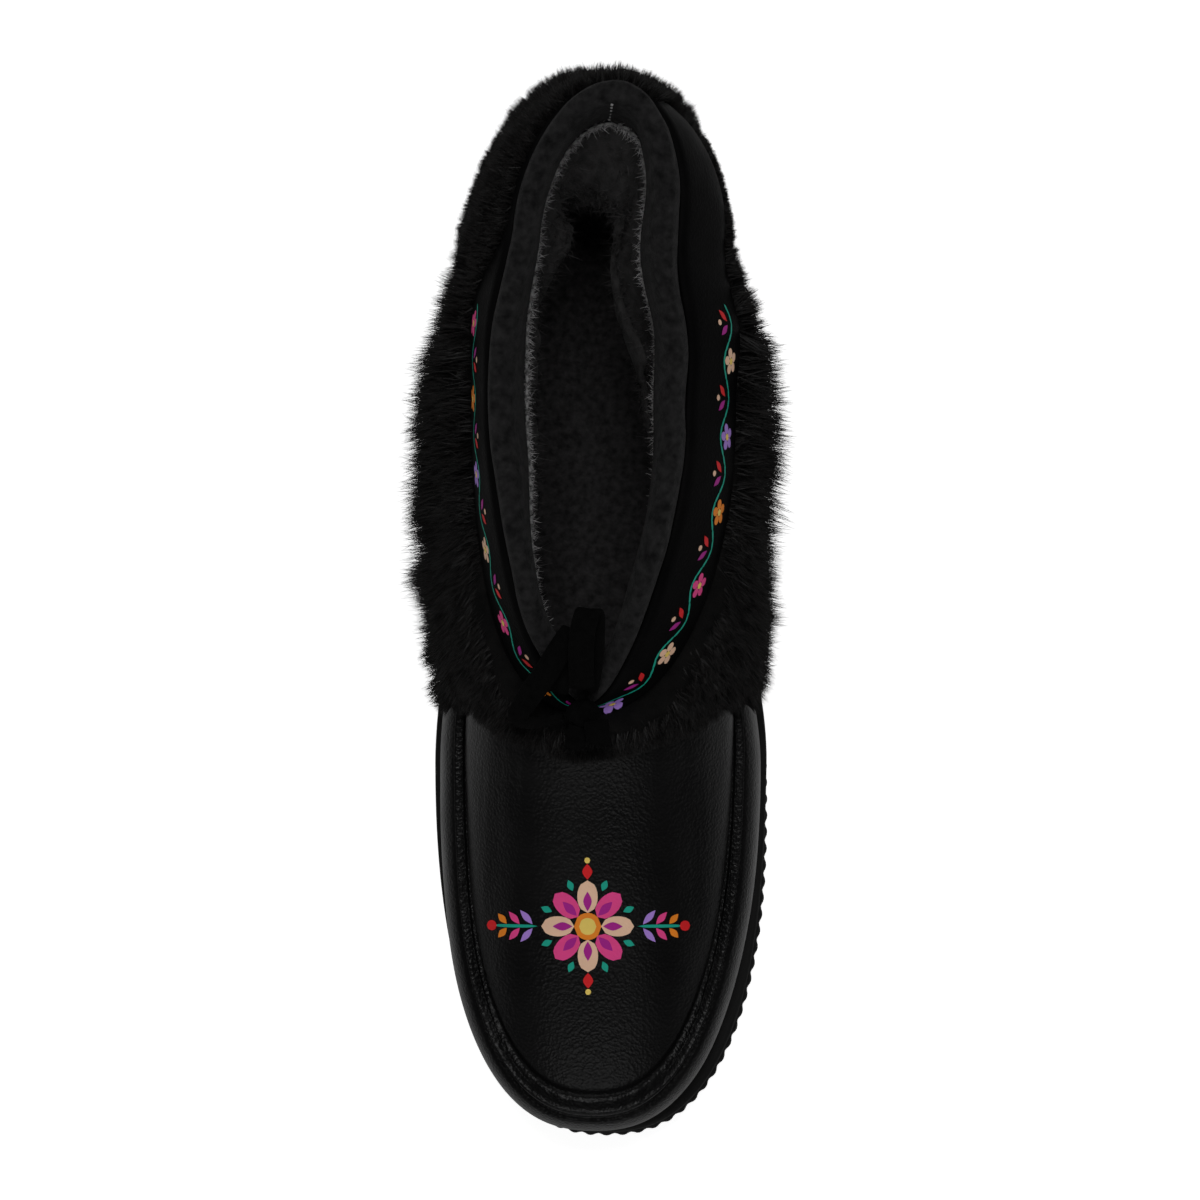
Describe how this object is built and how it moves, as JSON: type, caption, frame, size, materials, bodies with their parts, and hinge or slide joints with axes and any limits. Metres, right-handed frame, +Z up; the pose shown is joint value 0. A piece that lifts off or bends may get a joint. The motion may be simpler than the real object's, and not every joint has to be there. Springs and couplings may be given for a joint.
{
  "type": "mukluk boot",
  "caption": "Low moccasin-toe boot for the right foot, with a ribbed sole, hollow upper, fur cuff round the ankle, banded collar open at the top and a thong bow at the throat.",
  "frame": {"origin": "On the floor, at the middle of the boot's length and width without its lace", "axes": "+Z up, the toe points to -Y, +X is the inner side of the foot (a right shoe)"},
  "size_m": [0.0994, 0.2772, 0.1164],
  "materials": {
    "outsole": "matte moulded rubber with a ribbed side",
    "insole": "plush pile",
    "upper": "smooth black leather with a fine grain",
    "collar_band": "smooth black leather printed with a coloured garland",
    "collar_facing": "soft napped leather",
    "fur_cuff": "long glossy fur",
    "lace": "matte napped thong"
  },
  "bodies": {
    "root": {"outsole": "outsole", "insole": "insole", "upper": "upper", "collar_band": "collar_band", "collar_facing": "collar_facing", "fur_cuff": "fur_cuff", "lace_knot": "lace", "lace_loop_up": "lace", "lace_loop_side": "lace", "lace_end_low": "lace", "lace_end_high": "lace"}
  },
  "joints": []
}
